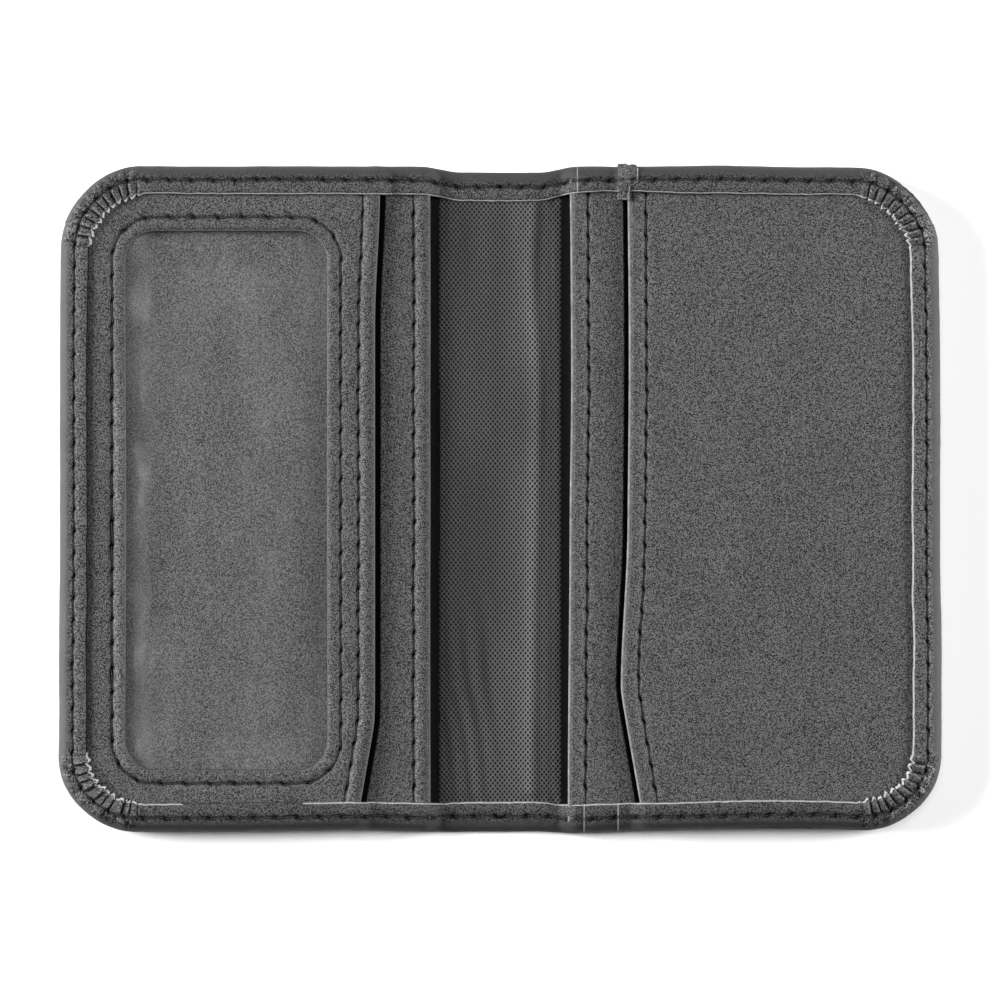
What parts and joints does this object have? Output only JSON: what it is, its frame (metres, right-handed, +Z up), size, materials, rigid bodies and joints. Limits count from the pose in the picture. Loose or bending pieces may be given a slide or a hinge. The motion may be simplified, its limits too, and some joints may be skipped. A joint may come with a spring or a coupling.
{
  "type": "bifold wallet",
  "caption": "Bifold card wallet in pebbled leather, lying open, with card pockets on both leaves, a clear identity window and a nylon lining across the fold.",
  "frame": {"origin": "centre of the underside of the open wallet, on the fold's centre line", "axes": "+X across the two leaves towards the right leaf, +Y along the fold towards the upper edge, +Z up out of the inside, which faces up while the wallet lies open"},
  "size_m": [0.132, 0.1, 0.0059],
  "materials": {
    "cover_leather": "fine pebbled grain, satin",
    "pocket_leather": "fine pebbled grain, satin, with pale cut edges",
    "nylon_lining": "woven nylon, slightly glossy",
    "stiffener_board": "matte board",
    "thread": "twisted thread, satin",
    "window_film": "clear flexible film, glossy"
  },
  "bodies": {
    "left_leaf": {"left_cover": "cover_leather", "left_board": "stiffener_board", "left_lining": "nylon_lining", "left_back_pocket": "pocket_leather", "left_back_pocket_lining": "nylon_lining", "left_front_pocket": "pocket_leather", "window_film": "window_film", "left_edge_stitches": "thread", "left_back_mouth_stitches": "thread", "left_front_mouth_stitches": "thread", "window_stitches": "thread"},
    "spine": {"spine_cover": "cover_leather", "spine_lining": "nylon_lining", "spine_stitches": "thread"},
    "right_leaf": {"right_cover": "cover_leather", "right_board": "stiffener_board", "right_lining": "nylon_lining", "right_back_pocket": "pocket_leather", "right_back_pocket_lining": "nylon_lining", "right_front_pocket": "pocket_leather", "right_front_pocket_lining": "nylon_lining", "right_edge_stitches": "thread", "right_back_mouth_stitches": "thread", "right_front_mouth_stitches": "thread"}
  },
  "joints": [
    {"name": "fold", "type": "hinge", "parent": "left_leaf", "child": "spine", "pos_m": [-0.00515, 0, 0.0009], "axis": [0, -1, 0], "range_deg": [0, 90]},
    {"name": "fold_right", "type": "hinge", "parent": "spine", "child": "right_leaf", "pos_m": [0.00515, 0, 0.0009], "axis": [0, -1, 0], "range_deg": [0, 90]}
  ],
  "couplings": [
    {"joint": "fold_right", "follows": "fold", "ratio": 1}
  ]
}
